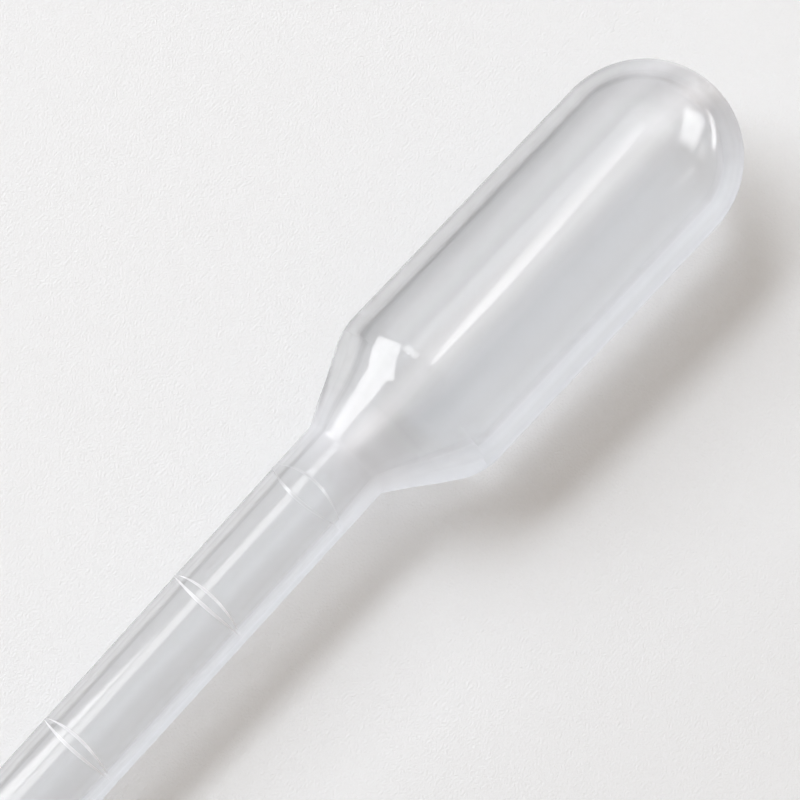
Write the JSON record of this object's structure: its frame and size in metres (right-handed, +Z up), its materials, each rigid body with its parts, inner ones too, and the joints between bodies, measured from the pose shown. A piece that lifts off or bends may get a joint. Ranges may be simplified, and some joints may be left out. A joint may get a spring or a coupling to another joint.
{
  "type": "dropper pipette",
  "caption": "Squeeze dropper pipette blown in one piece: round-ended bulb, sloping shoulder, hollow graduated stem and fine straight tip, lying on its side.",
  "frame": {"origin": "on the surface that the pipette lies on, under the middle of its length", "axes": "+X from the tip to the bulb's round end, +Z up; the pipette's own axis slopes up towards the bulb by 2.5 degrees, as it comes to rest"},
  "size_m": [0.153, 0.014, 0.015],
  "materials": {
    "clear_plastic": "natural low-density polyethylene, glossy and slightly milky, seen through"
  },
  "bodies": {
    "root": {"pipette": "clear_plastic"}
  },
  "joints": []
}
